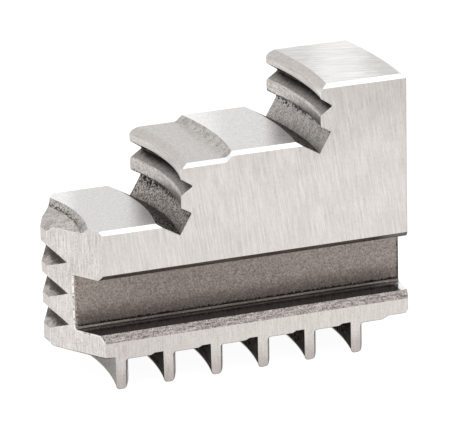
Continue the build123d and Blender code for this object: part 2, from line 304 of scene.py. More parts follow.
@dataclass(frozen=True)
class Spots:
    """Spots of another tone: their size in mm, how strong they are, the level of the noise above
    which they lie, and how soft their edges are."""

    tone: Tone
    size: float = 0.5
    strength: float = 0.5
    level: float = 0.6
    softness: float = 0.08


@dataclass(frozen=True)
class Band:
    """A stretch of another tone.

    A point takes the tone by how far its measure has gone from start to end, after a noise with
    grains of a size in mm has moved it by up to half of ragged either way.
    """

    measure: Measure
    start: float
    end: float
    tone: Tone
    ragged: float = 0.0
    grain: float = 0.8


@dataclass(frozen=True)
class Finish:
    """A finish of the steel.

    tone is the metal's colour, in some zones set darker as painted shade or lighter as a painted
    highlight, and marked that of its deepest marks. They run one way, which can lean by an angle,
    and relief is their depth in mm. The roughness swings up and down with them. rim is how much of
    the light the metal gives back at a grazing angle.
    """

    name: str
    tone: Tone
    marked: Tone
    run: Run = Run.CAST
    lean: float = 0.0
    spots: tuple[Spots, ...] = ()
    roughness: float = 0.36
    swing: float = 0.08
    relief: float = 0.004
    rim: float = 1.0
    bands: tuple[Band, ...] = ()
    lean_about: ClassVar[dict[Run, Triple]] = {
        Run.UPRIGHT: (0.0, 1.0, 0.0),
        Run.LENGTHWISE: (0.0, 0.0, 1.0),
    }

    def darkened(self, tree: Tree, colour: Socket, amount: Socket, tone: Tone) -> Socket:
        """Changes a colour in the proportion that leads from the finish's own tone to another."""
        share = Vector(np.array(linear(tone)[:3]) / np.array(linear(self.tone)[:3]))
        return mix(tree, amount, colour, vector_node(tree, "MULTIPLY", colour, share))

    def spotted(self, tree: Tree, shop: "Workshop", place: Socket, spots: Spots) -> Socket:
        """Gives the mask of spots, as strong as they are."""
        sockets = {"Vector": place, "Size": spots.size, "Level": spots.level, "Softness": spots.softness}
        return math_node(tree, "MULTIPLY", mask_node(tree, shop.speckle, sockets), spots.strength)

    def banded(self, tree: Tree, shop: "Workshop", place: Socket, colour: Socket, band: Band) -> Socket:
        """Changes a colour to a band's tone along its stretch.

        Args:
            tree: tree of the material.
            shop: the shared groups.
            place: Object coordinates.
            colour: the colour so far.
            band: the stretch, its tone and its ragged edge.

        Returns:
            The changed colour.
        """
        along = band.measure.along(tree, place)
        if band.ragged:
            grains = Spots(band.tone, band.grain, strength=1.0, level=0.5, softness=0.2)
            either_way = math_node(tree, "SUBTRACT", self.spotted(tree, shop, place, grains), 0.5)
            along = math_node(tree, "ADD", along, math_node(tree, "MULTIPLY", either_way, band.ragged))
        gone = spread(tree, along, band.start, band.end, smooth=True)
        return mix(tree, gone, colour, linear(band.tone))

    def make(self, shop: "Workshop") -> bpy.types.Material:
        """Makes the material of this finish.

        Args:
            shop: the shared groups and the place of the chuck's axis.

        Returns:
            The material, on Object coordinates.
        """
        material = bpy.data.materials.new(self.name)
        material.use_nodes = True
        tree = material.node_tree
        shader = tree.nodes["Principled BSDF"]
        place = leaning = add(tree, "TexCoord").outputs["Object"]
        if self.lean:
            rotation = tuple(part * self.lean for part in self.lean_about[self.run])
            leaning = add(tree, "Mapping", {"Vector": place, "Rotation": rotation}).outputs[0]
        sockets = {"Vector": leaning, "Step": self.run.value}
        if self.run is Run.TURNED:
            marks = mask_node(tree, shop.turning, sockets | {"Axis": shop.axis_x})
        else:
            marks = mask_node(tree, shop.grinding, sockets)
        colour = add(tree, "RGB").outputs[0]
        colour.default_value = linear(self.tone)
        for band in self.bands:
            colour = self.banded(tree, shop, place, colour, band)
        colour = self.darkened(tree, colour, marks, self.marked)
        height = marks
        for spots in self.spots:
            amount = self.spotted(tree, shop, place, spots)
            colour = self.darkened(tree, colour, amount, spots.tone)
            height = math_node(tree, "SUBTRACT", height, amount)
        tree.links.new(colour, shader.inputs["Base Color"])
        shader.inputs["Metallic"].default_value = 1.0
        shader.inputs["Specular Tint"].default_value = (self.rim, self.rim, self.rim, 1.0)
        low, high = self.roughness - self.swing, self.roughness + self.swing
        rough = add(tree, "MapRange", {"Value": marks, "To Min": low, "To Max": high}).outputs[0]
        tree.links.new(rough, shader.inputs["Roughness"])
        bump = add(tree, "Bump", {"Strength": 1.0, "Distance": self.relief * MM, "Height": height})
        tree.links.new(bump.outputs[0], shader.inputs["Normal"])
        return material


class Workshop:
    """The shared node groups, and the finishes made so far."""

    def __init__(self, axis_x: float) -> None:
        """Makes the groups once.

        Args:
            axis_x: place of the chuck's axis in metres.
        """
        self.axis_x = axis_x
        self.grinding = grain_group()
        self.turning = turned_group()
        self.speckle = speckle_group()
        self.made: dict[str, bpy.types.Material] = {}

    def material(self, finish: Finish) -> bpy.types.Material:
        """Gives the material of a finish, made at its first use."""
        if finish.name not in self.made:
            self.made[finish.name] = finish.make(self)
        return self.made[finish.name]


class Zone(Enum):
    """The machined areas of the jaw, each with its finish."""

    BODY_SIDE = Finish(
        "ground_side", (231, 226, 223), (208, 203, 199), Run.UPRIGHT, lean=math.radians(8),
        spots=(Spots((219, 214, 210), 0.35, level=0.56), Spots((224, 219, 215), 5.0, 0.6, 0.5, 0.15)),
        bands=(
            # painted shade: the ground side darkens towards its top
            Band(Measure.HEIGHT, 30.0, 44.0, (216, 211, 207), 6.0, 4.0),
            Band(Measure.LENGTH, 27.9, 28.3, (204, 199, 195)),
        ),
    )
    WEDGE = Finish(
        "ground_wedge", (237, 233, 229), (202, 196, 192), Run.SHORT,
        spots=(Spots((180, 174, 170), 0.3, 0.5, 0.59), Spots((225, 220, 216), 3.0, 0.6, 0.5, 0.15)),
    )
    TIP_LAND = Finish(
        "tip_land", (218, 212, 207), (190, 184, 180), Run.UPRIGHT, spots=(Spots((160, 155, 150)),)
    )
    TOP = Finish(
        "top_plateau", (221, 219, 217), (187, 185, 182), Run.LENGTHWISE, lean=math.radians(16),
        roughness=0.3, relief=0.0008,
        bands=(
            # painted highlight: a lighter diagonal band of sheen across the plateau; the band after it,
            # darker towards the outer end, is painted shade
            Band(Measure.DIAGONAL, 14.5, 20.5, (248, 247, 246), 2.0, 2.0),
            Band(Measure.DIAGONAL, 23.0, 29.5, (213, 211, 207), 2.0, 2.0),
        ),
    )
    SECOND_FLOOR = Finish(
        "second_plateau", (223, 221, 219), (198, 196, 194), roughness=0.3, relief=0.0008,
        # painted reflection: a lighter diagonal streak across the plateau
        bands=(Band(Measure.DIAGONAL, 3.2, -3.2, (249, 248, 247), 1.0, 2.0),),
    )
    FIRST_FLOOR = Finish(
        "first_plateau", (221, 220, 218), (190, 189, 187), roughness=0.3, relief=0.0008,
        # painted reflection: a lighter diagonal streak across the plateau
        bands=(Band(Measure.DIAGONAL, -22.6, -26.4, (250, 249, 248), 1.0, 2.0),),
    )
    # near-white tone: a painted highlight, standing in for the chamfer's bright reflection
    SIDE_CHAMFER = Finish("side_chamfer", (250, 250, 250), (240, 240, 240), Run.LENGTHWISE, roughness=0.4)
    END_CHAMFER = Finish("end_chamfer", (220, 218, 215), (205, 202, 198), Run.TURNED)
    OUTER_END = Finish("outer_end", (220, 215, 211), (200, 195, 191), Run.UPRIGHT, lean=math.radians(8))
    SECOND_LOWERED = Finish(
        "lowered_surface", (210, 205, 202), (186, 181, 177), roughness=0.42,
        bands=(Band(Measure.BEHIND_FACE, 6.4, 7.9, (188, 183, 178), 1.0),),
    )
    FIRST_LOWERED = Finish(
        "blasted_tip", (226, 221, 217), (176, 171, 167),
        spots=(
            Spots((198, 192, 187), 1.6, 0.9, 0.5, 0.1),
            Spots((226, 216, 212), 0.6, 0.9, 0.55),
            Spots((108, 103, 99), 0.35, 0.9, 0.61, 0.05),
        ),
        roughness=0.5, relief=0.01,
    )
    RAMP = Finish(
        "ramp", (214, 209, 205), (180, 175, 171),
        spots=(Spots((184, 179, 175), 1.2, 0.8, 0.5, 0.1), Spots((118, 114, 110), 0.3, 0.7, 0.61)),
        roughness=0.45, relief=0.01,
    )
    TIP_RAMP = Finish(
        "tip_ramp", (218, 213, 209), (176, 171, 167),
        spots=(Spots((190, 185, 181), 1.0, 0.7, 0.5, 0.1), Spots((110, 106, 102), 0.3, 0.9, 0.57, 0.06)),
        roughness=0.45, relief=0.01,
        bands=(
            Band(Measure.BEHIND_FACE, 4.8, 4.7, (90, 85, 81), 1.1, 0.35),
            Band(Measure.BEHIND_FACE, 4.5, 4.4, (214, 208, 203), 0.5, 0.35),
        ),
    )
    CREST = Finish(
        "crest", (210, 205, 201), (190, 185, 181), spots=(Spots((190, 185, 181), 0.7, 0.4, 0.54),),
        roughness=0.42,
    )
    UPPER_LAND = Finish(
        "upper_land", (213, 207, 203), (186, 180, 176), Run.TURNED,
        spots=(Spots((140, 135, 131), 0.35, 0.5, 0.6, 0.05),),
        bands=(Band(Measure.TO_NEAR_SIDE, 8.8, 9.4, (236, 232, 229), 7.0, 0.35),),
    )
    LOWER_LAND = Finish(
        "lower_land", (219, 213, 209), (194, 188, 184), Run.TURNED,
        spots=(Spots((186, 181, 177), 1.2, 0.6, 0.5, 0.1), Spots((136, 131, 127), 0.35, 0.7, 0.58, 0.06)),
        bands=(
            Band(Measure.ABOVE_FLOOR, 2.4, 2.05, (124, 118, 114), 0.6, 0.5),
            Band(Measure.TO_NEAR_SIDE, 8.5, 9.8, (192, 186, 181), 4.0, 0.4),
        ),
    )
    FLANK_BELOW = Finish(
        "serration_floor", (171, 163, 159), (138, 131, 127), roughness=0.42,
        spots=(Spots((160, 154, 150), 1.2, 0.6, 0.5, 0.1), Spots((124, 118, 114), 0.35, 0.5)),
        # painted shade: darker deeper inside the serration, under its roof
        bands=(Band(Measure.BEHIND_FACE, 0.35, 2.1, (72, 67, 64), 0.5),),
    )
    # dark tone and weak rim: painted shade on the downward-facing serration roofs
    FLANK_ABOVE = Finish("serration_roof", (84, 78, 74), (64, 59, 56), Run.TURNED, roughness=0.45, rim=0.1)
    TIP_FLOOR = Finish(
        "tip_serration_floor", (210, 202, 198), (177, 170, 166), roughness=0.42,
        spots=(Spots((170, 164, 160), 1.2, 0.6, 0.5, 0.1), Spots((124, 118, 114), 0.35, 0.6)),
        bands=(
            # painted shade: darker deeper inside the tip's serrations, under their roofs
            Band(Measure.BEHIND_FACE, 0.6, 1.5, (115, 108, 104), 0.8),
            Band(Measure.BEHIND_FACE, 1.8, 2.4, (158, 148, 142), 0.3),
        ),
    )
    TIP_ROOF = Finish("tip_serration_roof", (170, 161, 155), (140, 132, 127), Run.TURNED, roughness=0.42)
    MIDDLE_UNDERCUT_END = Finish(
        "middle_undercut_end", (221, 213, 207), (134, 128, 124),
        spots=(
            Spots((172, 166, 161), 1.1, 0.6, 0.5, 0.06), Spots((84, 79, 76), 0.28, 0.9, 0.54, 0.06),
            Spots((244, 236, 230), 0.3, 0.7, 0.6, 0.05),
        ),
        roughness=0.5, relief=0.012,
        # painted shadow of the undercut's roof: dark towards the top of the end face
        bands=(Band(Measure.ABOVE_FLOOR, 0.25, 0.65, (66, 62, 59), 2.0, 0.5),),
    )
    TOP_UNDERCUT_END = Finish(
        "top_undercut_end", (214, 208, 203), (164, 159, 155),
        spots=(Spots((184, 178, 174), 1.2, 0.6, 0.5, 0.06), Spots((110, 105, 102), 0.28, 0.7, 0.57, 0.06)),
        roughness=0.5, relief=0.01,
        # painted shadow of the undercut's roof: dark towards the top of the end face
        bands=(Band(Measure.ABOVE_FLOOR, 0.7, 0.95, (64, 60, 58), 1.5, 0.6),),
    )
    UNDERCUT = Finish(
        "undercut", (202, 191, 183), (122, 115, 110),
        spots=(Spots((66, 62, 59), 0.4, 0.9, 0.52, 0.05),), roughness=0.55, rim=0.05,
    )
    GROOVE_WALL = Finish(
        "milled_wall", (173, 161, 155), (132, 122, 116),
        spots=(Spots((162, 151, 145), 1.2, 0.7, 0.5, 0.12), Spots((120, 111, 105), 0.3, 0.5, 0.56)),
        roughness=0.5, relief=0.008,
        bands=(
            Band(Measure.LENGTH, -12.0, -25.0, (186, 174, 167), 5.0, 3.0),
            Band(Measure.LENGTH, 2.0, 14.0, (179, 167, 161), 5.0, 3.0),
            # painted shade: the wall darkens towards its foot, in the corner with the groove floor
            Band(Measure.HEIGHT, 13.0, 10.2, (142, 132, 127), 0.9, 0.9),
            Band(Measure.HEIGHT, 10.0, 9.5, (90, 84, 80), 0.4, 0.4),
            Band(Measure.HEIGHT, 9.72, 9.6, (50, 46, 43), 0.5, 0.5),
            Band(Measure.LENGTH, 28.5, 28.7, (80, 75, 72), 0.3, 0.5),
            Band(Measure.LENGTH, -25.85, -26.0, (150, 134, 122), 0.7, 0.5),
            Band(Measure.LENGTH, -26.0, -26.15, (214, 204, 196), 0.6, 0.4),
        ),
    )
    # dark tone, and the darker line along its top: painted shade at the foot of the web
    WEB_FILLET = Finish(
        "web_fillet", (122, 115, 111), (84, 79, 76), Run.LENGTHWISE,
        spots=(Spots((176, 169, 164), 0.3, 0.7, 0.6, 0.04),),
        bands=(
            Band(Measure.LENGTH, -12.0, -22.0, (148, 140, 136), 3.0, 2.0),
            Band(Measure.HEIGHT, 9.42, 9.52, (58, 53, 50)),
        ),
    )
    # light tone: a painted highlight, the light strip along the foot of the web, fading outwards to a
    # darker tone; the lightest band at the outer end is a painted reflection
    GROOVE_ROOT = Finish(
        "groove_root", (236, 229, 226), (202, 195, 191), Run.LENGTHWISE,
        bands=(
            Band(Measure.TO_NEAR_SIDE, 6.7, 7.5, (106, 100, 98), 0.3, 0.5),
            Band(Measure.LENGTH, 27.2, 27.7, (246, 244, 242), 0.2, 0.5),
        ),
    )
    GROOVE_FLOOR = Finish(
        "groove_floor", (112, 109, 109), (97, 95, 95), Run.LENGTHWISE, roughness=0.18, swing=0.05,
        relief=0.001,
        bands=(
            Band(Measure.LENGTH, 0.0, 14.0, (101, 99, 99), 4.0, 3.0),
            # painted reflection: a light patch at the outer end of the groove floor
            Band(Measure.LENGTH, 27.2, 27.7, (246, 244, 242), 0.2, 0.5),
        ),
    )
    BODY_CHAMFER = Finish(
        "body_chamfer", (212, 199, 190), (182, 170, 163), Run.LENGTHWISE, roughness=0.3,
        # painted shade: the chamfer darkens towards its outer end
        bands=(Band(Measure.LENGTH, 19.0, 24.0, (80, 74, 71)),),
    )
    FOOT_CHAMFER = Finish(
        "foot_chamfer", (225, 217, 213), (150, 142, 139), Run.SCUFFED,
        spots=(Spots((200, 193, 189), 1.2, 0.6, 0.5, 0.1), Spots((110, 104, 101), 0.22, 0.75, 0.54)),
        roughness=0.5, relief=0.01,
    )
    FOOT_SIDE = Finish(
        "ground_foot", (223, 218, 213), (206, 200, 195), Run.SHORT,
        spots=(Spots((222, 217, 213), 1.0, 0.6, 0.5, 0.1), Spots((186, 180, 176), 0.3, 0.6)),
        bands=(
            Band(Measure.LENGTH, 8.0, -21.0, (220, 214, 210), 6.0, 4.0),
            Band(Measure.HEIGHT, 4.6, 0.4, (196, 189, 185), 0.8),
        ),
    )
    # painted shade: the inner flanks of the teeth under the foot, dark in tone
    INNER_FLANK_PAINTED_SHADE = Finish(
        "inner_flank_painted_shade", (102, 97, 93), (70, 66, 64), Run.TURNED,
        spots=(Spots((48, 46, 44), 0.5, 0.8, 0.52), Spots((156, 148, 143), 0.3, 0.5, 0.62, 0.05)),
        roughness=0.4, rim=0.25,
    )
    # painted light: the same inner flank, lighter, on the first tooth, which faces the open side
    FIRST_INNER_FLANK_PAINTED_LIT = Finish(
        "first_inner_flank_painted_lit", (142, 136, 131), (100, 95, 91),
        spots=(Spots((96, 91, 87), 0.5, 0.7, 0.56),), roughness=0.42,
    )
    TOOTH_OUTER = Finish("tooth_outer", (150, 145, 141), (130, 125, 121), Run.TURNED, roughness=0.42)
    TOOTH_TIP = Finish("tooth_tip", (160, 152, 148), (120, 112, 108), Run.TURNED, roughness=0.45)
    UNDERSIDE = Finish("underside", (120, 116, 112), (100, 96, 92), Run.LENGTHWISE, roughness=0.42)
    # the broken edges are cut in the geometry; their near-white tone is a painted highlight of the light
    # that they catch
    EDGE = Finish(
        "broken_edge", (246, 243, 240), (228, 224, 220),
        spots=(Spots((216, 211, 207), 0.9, 0.9, 0.5, 0.1),), roughness=0.42,
    )
    LOWER_EDGE = Finish(
        "lower_edge", (72, 64, 59), (54, 48, 44), spots=(Spots((170, 162, 156), 0.7, 0.5, 0.6),),
        roughness=0.45,
    )
    WORN_EDGE = Finish(
        "worn_edge", (255, 253, 251), (240, 236, 232),
        spots=(Spots((206, 196, 188), 0.8, 0.8, 0.5, 0.08), Spots((150, 128, 112), 0.4, 0.8, 0.6, 0.04)),
        roughness=0.42,
    )


# The jaw

# Parts of a unit normal in some direction, from which a face counts as square to it, as a
# land's, an undercut's, a chamfer's or a serration's, or as sloping at all. UPRIGHT is the part
# upwards that an upright face may have.
SQUARE = 0.99
LAND = 0.58
STEEP = 0.6
SLANTING = 0.3
FLANK = 0.2
SLOPING = 0.05
UPRIGHT = 0.02

Array = np.ndarray
Pair = tuple[Array, Array]


@dataclass(frozen=True)
class Side:
    """A ground side: its outward direction, its distance from the origin in mm, and whether it
    belongs to the wedge."""

    direction: Array
    distance: float
    on_wedge: bool = False


class Facets:
    """Triangles, by what tells the machined areas apart.

    In mm, x is the place of the centre along the jaw, z its height above the tips of the teeth,
    far its distance from the middle plane and radius that from the chuck's axis. The parts of
    the unit normal are along the jaw, side (across it, either way), up, and out from the axis.
    """

    def __init__(self, points: Array, triangles: Array, axis_x: float) -> None:
        """Measures the triangles. A normal is the cross product of two edges divided by its
        length, or by 1e-12 where a triangle has no area.

        Args:
            points: the points in mm.
            triangles: point numbers of the triangles.
            axis_x: place of the chuck's axis in mm.
        """
        corner = points[triangles]
        self.x, y, self.z = corner.mean(axis=1).T
        normal = np.cross(corner[:, 1] - corner[:, 0], corner[:, 2] - corner[:, 0])
        normal /= np.maximum(np.linalg.norm(normal, axis=1), 1e-12)[:, None]
        self.along, across, self.up = normal.T
        ahead = self.x - axis_x
        self.radius = np.hypot(ahead, y)
        self.out = (self.along * ahead + across * y) / self.radius
        self.side, self.far = np.abs(across), np.abs(y)


@dataclass(frozen=True)
class HardJaw:
    """The one-piece jaw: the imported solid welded, its edges broken and each area finished.

    Lengths are in mm. Radii are about the chuck's axis, an upright line at axis_x. The undercuts,
    lands and serrations are told by heights above the floor in front of their gripping face.

    Attributes:
        reach: how far ahead of a gripping face the places that are measured from it begin.
        near: how close a centre is to a height or a radius that counts as there.
        close: how close a point is to a plane that it counts as in.
        least_turn: limit to how far the point of a sharp corner moves.
        flat_angle: angle up to which triangles count as one flat face.
        sharp_angle: angle from which an edge isn't shaded smooth.
    """

    node: str = "hard_jaw"
    axis_x: float = -54.4
    half_width: float = 11.4
    tip_x: float = -29.1
    tip_half: float = 1.55
    wedge_angle: float = math.radians(60)
    wedge_end: float = -20.0
    outer_radius: float = 83.5
    end_chamfer: float = 1.0
    grip_radii: Triple = (25.3, 45.65, 68.95)
    step_heights: Triple = (26.2, 36.3, 45.2)
    lowered: float = 0.95
    serration_depth: float = 3.0
    tip_chamfer: float = 2.0
    undercut_end: float = 1.4
    undercut_top: float = 2.3
    lower_land_top: float = 4.3
    serration_root: float = 5.6
    upper_land_foot: float = 6.2
    foot_top: float = 9.0
    groove_top: float = 18.1
    foot_underside: float = 5.35
    tooth_height: float = 4.85
    tooth_rounding: float = 0.7
    first_tooth_radius: float = 36.0
    web_half: float = 6.0
    web_root: float = 0.6
    root_width: float = 1.6
    edge_break: float = 0.09
    worn_break: float = 0.22
    lower_edge_top: float = 5.75
    reach: float = 5.0
    near: float = 0.1
    close: float = 0.001
    least_turn: float = 0.3
    flat_angle: float = math.radians(0.3)
    sharp_angle: float = math.radians(18)
    zones: tuple[Zone, ...] = tuple(Zone)
    sharp: frozenset[Zone] = frozenset({
        Zone.BODY_SIDE, Zone.WEDGE, Zone.FOOT_SIDE, Zone.SIDE_CHAMFER, Zone.BODY_CHAMFER,
        Zone.FOOT_CHAMFER, Zone.INNER_FLANK_PAINTED_SHADE, Zone.FIRST_INNER_FLANK_PAINTED_LIT,
    })
    groove: frozenset[Zone] = frozenset({
        Zone.GROOVE_WALL, Zone.GROOVE_FLOOR, Zone.GROOVE_ROOT, Zone.WEB_FILLET, Zone.FOOT_CHAMFER,
    })

    def welded(self) -> Pair:
        """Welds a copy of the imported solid's loose triangles: equal corners become one point.

        Returns:
            The points in mm, and the three point numbers of each triangle.
        """
        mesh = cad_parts[self.node].data
        mesh.calc_loop_triangles()
        corners = np.zeros(len(mesh.loop_triangles) * 3, np.int32)
        mesh.loop_triangles.foreach_get("vertices", corners)
        places = rows(mesh.vertices, "co").astype(float) / MM
        _, first, joined = np.unique(np.round(places, 4), axis=0, return_index=True, return_inverse=True)
        triangles = joined.reshape(-1)[corners].reshape(-1, 3)
        whole = (triangles != np.roll(triangles, 1, axis=1)).all(axis=1)
        return places[first], triangles[whole]

    def sides(self) -> list[Side]:
        """Gives the ground sides. A side of the wedge goes through the edge of the tip's land, so
        its distance is that edge's part along its direction.

        Returns:
            The two parallel sides and the two of the wedge.
        """
        across, ahead = math.cos(self.wedge_angle), -math.sin(self.wedge_angle)
        distance = self.tip_x * ahead + self.tip_half * across
        return [
            *(Side(np.array([0.0, way, 0.0]), self.half_width) for way in (-1.0, 1.0)),
            *(Side(np.array([ahead, way * across, 0.0]), distance, on_wedge=True) for way in (-1.0, 1.0)),
        ]

    def cut(self, points: Array, triangles: Array) -> Pair:
        """Cuts the triangles along a plane behind each ground side, where its broken edges end,
        and along the line on the groove floors where the root's painted highlight ends.

        Args:
            points: the points in mm.
            triangles: point numbers of the triangles.

        Returns:
            The points and triangles after the cuts.
        """
        mesh = bpy.data.meshes.new("cut_solid")
        mesh.from_pydata(points.tolist(), [], triangles.tolist())
        work = bmesh.new()
        work.from_mesh(mesh)
        planes = [(side.direction, side.distance - self.edge_break) for side in self.sides()]
        planes += [(np.array([0.0, way, 0.0]), self.web_half + self.root_width) for way in (-1.0, 1.0)]
        for direction, distance in planes:
            bmesh.ops.bisect_plane(
                work, geom=[*work.verts, *work.edges, *work.faces], dist=self.close / 10,
                plane_co=direction * distance, plane_no=direction,
            )
        bmesh.ops.triangulate(work, faces=work.faces)
        work.to_mesh(mesh)
        work.free()
        corners = np.zeros(len(mesh.loops), np.int32)
        mesh.loops.foreach_get("vertex_index", corners)
        return rows(mesh.vertices, "co").astype(float), corners.reshape(-1, 3)

    def from_face(self, radius: Array, height: Array) -> Pair:
        """Measures places from the gripping face that they belong to, the outermost within reach.

        Args:
            radius: distances from the chuck's axis.
            height: heights above the tooth tips.

        Returns:
            How far each place is behind its gripping face, and above the floor in front of it.
        """
        tip, middle, top = self.grip_radii
        first, second, _ = self.step_heights
        at_top, at_middle = radius > top - self.reach, radius > middle - self.reach
        face = np.where(at_top, top, np.where(at_middle, middle, tip))
        floor = np.where(at_top, second, np.where(at_middle, first, 0.0))
        return radius - face, height - floor

    def rules(self, at: Facets) -> list[tuple[Zone, Array]]:
        """Tells the machined areas apart: planes by their height or side, turned surfaces by
        their radius and by which way they face. A number without a name is a limit somewhere
        between an area and its neighbours.

        Args:
            at: the triangles.

        Returns:
            The zones in the order in which they are tried, with the triangles that fit each.
        """
        first, second, top = self.step_heights
        tip_radius, middle_radius, top_radius = self.grip_radii
        behind, above_floor = self.from_face(at.radius, at.z)
        square, flat = at.side > SQUARE, at.up > SQUARE
        outside = square & (at.far > self.half_width - self.near / 2)
        ledge = flat & (at.z < self.foot_top + self.near)
        steps = {
            Zone.SECOND_FLOOR: second,
            Zone.SECOND_LOWERED: second - self.lowered,
            Zone.FIRST_FLOOR: first,
            Zone.FIRST_LOWERED: first - self.lowered,
        }
        level = [
            (Zone.FOOT_SIDE, outside & (at.z < self.foot_top)),
            (Zone.BODY_SIDE, outside),
            (Zone.GROOVE_WALL, square),
            (Zone.TOP, flat & (at.z > top - self.near)),
            *((zone, flat & (np.abs(at.z - height) < self.near)) for zone, height in steps.items()),
            (Zone.GROOVE_ROOT, ledge & (at.far < self.web_half + self.root_width)),
            (Zone.GROOVE_FLOOR, ledge),
        ]
        rising = between(at.up, SLOPING, SQUARE)
        end = (at.radius > self.outer_radius - self.end_chamfer - self.near) & (at.out > SLANTING)
        over_groove = between(at.z, self.groove_top - self.near, self.groove_top + 1)
        at_root = between(at.z, self.foot_top - self.near, self.foot_top + self.web_root)
        at_root &= rising & (at.far < self.web_half + self.web_root)
        on_foot = rising & between(at.z, self.foot_underside, self.foot_top)
        tapered = between(at.up, -UPRIGHT, UPRIGHT) & between(at.side, SLANTING, 0.7)
        outer = [
            (Zone.OUTER_END, (at.radius > self.outer_radius - self.near) & (at.out > 0.95)),
            (Zone.END_CHAMFER, end & (at.z > second)),
            (Zone.UNDERSIDE, end & (at.z < self.foot_top)),
            (Zone.SIDE_CHAMFER, (at.up > 0.45) & (at.side > 0.45) & (at.z > self.groove_top + 2)),
            (Zone.BODY_CHAMFER, (at.up < -SLANTING) & over_groove),
            (Zone.WEB_FILLET, at_root & (at.out > -SLANTING)),
            (Zone.FOOT_CHAMFER, on_foot & (at.far > self.half_width - 1)),
            (Zone.WEDGE, tapered & (at.x < self.wedge_end) & (at.out < 0) & (at.z > self.tooth_height)),
        ]
        inner = (at.z < self.foot_underside) & (at.along < -0.5)
        teeth = [
            (Zone.TOOTH_TIP, (at.z < self.tooth_rounding) & (at.up < -SLOPING)),
            # the first tooth's inner flank takes the lighter painted copy, the others the painted shade
            (Zone.FIRST_INNER_FLANK_PAINTED_LIT, inner & (at.radius < self.first_tooth_radius)),
            (Zone.INNER_FLANK_PAINTED_SHADE, inner),
            (Zone.TOOTH_OUTER, (at.z < self.tooth_height) & (at.along > 0.5)),
            (Zone.UNDERSIDE, at.z < self.foot_underside + 0.5),
        ]
        serrated = at.radius < tip_radius + self.serration_depth
        under_top = at.z <= first - self.tip_chamfer
        facing = rising & (at.out < -SLOPING)
        tip = [
            (Zone.TIP_LAND, (at.radius < tip_radius + self.near) & (at.out < -0.9)),
            (Zone.FIRST_LOWERED, rising & (at.radius < tip_radius + 1.1) & ~under_top),
            (Zone.TIP_ROOF, serrated & (at.up < -FLANK)),
            (Zone.TIP_FLOOR, serrated & under_top & ((at.up > FLANK) | (behind > 1))),
            (Zone.TIP_RAMP, facing & (at.z < first) & (at.radius < middle_radius - 6)),
        ]
        at_ramp = between(at.z, second - 1, second) & between(at.radius, middle_radius + 5, top_radius - 8)
        on_face = (at.out < -LAND) & (behind < 0.3) & (at.radius > middle_radius - 1)
        in_end = (behind > 0.9) | ((at.up > SLANTING) & (at.out < -STEEP))
        in_end &= above_floor < self.undercut_end
        in_root = (behind > 1) & (above_floor > self.lower_land_top)
        steep_or_level = (at.out < -0.8) | (at.up > 0)
        faces = [
            (Zone.RAMP, facing & at_ramp),
            (Zone.UNDERCUT, (at.up > STEEP) & (at.out > FLANK)),
            (Zone.UNDERCUT, (at.up < -STEEP) & (above_floor < self.undercut_top)),
            (Zone.TOP_UNDERCUT_END, in_end & (at.radius > top_radius - 1)),
            (Zone.MIDDLE_UNDERCUT_END, in_end),
            (Zone.LOWER_LAND, on_face & steep_or_level & (above_floor < self.lower_land_top)),
            (Zone.UPPER_LAND, on_face & (at.out < -0.7) & (above_floor > self.upper_land_foot)),
            (Zone.FLANK_ABOVE, at.up < -FLANK),
            (Zone.FLANK_BELOW, ((at.up > FLANK) | in_root) & (above_floor < self.serration_root)),
            (Zone.CREST, at.up > UPRIGHT),
        ]
        return [*level, *outer, *teeth, *tip, *faces]

    def zone_of(self, points: Array, triangles: Array) -> Array:
        """Names the machined area that each triangle belongs to: that of the first rule which it
        fits, or a broken edge.

        Args:
            points: the points in mm.
            triangles: point numbers of the triangles.

        Returns:
            The place of each triangle's zone in the list of zones.
        """
        zones, fits = zip(*self.rules(Facets(points, triangles, self.axis_x)))
        named = [self.zones.index(zone) for zone in zones]
        return np.select(fits, named, default=self.zones.index(Zone.EDGE))

    def widths(self, on_wedge: bool) -> Array:
        """Gives the width in mm by which each zone's edge with a ground side is broken. Along the
        wedge the front edges of the guide grooves are worn wider."""
        worn = self.groove if on_wedge else frozenset()
        return np.array([
            self.worn_break if zone in worn else 0.0 if zone in self.sharp else self.edge_break
            for zone in self.zones
        ])

    def outline(self, triangles: Array, count: int, face: Array) -> Pair:
        """Finds a side's outline: its lines that a triangle outside it has the other way round. A
        line is known by its first point's number times the count of points, plus its second's.

        Args:
            triangles: point numbers of the triangles.
            count: number of points.
            face: whether each triangle is in the side.

        Returns:
            The two point numbers of each line, and the triangle beyond it.
        """
        lines = triangles[:, [[0, 1], [1, 2], [2, 0]]].astype(np.int64)
        others = np.flatnonzero(~face)
        known = (lines[others, :, 0] * count + lines[others, :, 1]).reshape(-1)
        order = np.argsort(known)
        ends = lines[face].reshape(-1, 2)
        wanted = ends[:, 1] * count + ends[:, 0]
        place = np.minimum(np.searchsorted(known, wanted, sorter=order), len(known) - 1)
        found = known[order[place]] == wanted
        return ends[found], others[order[place[found]] // 3]

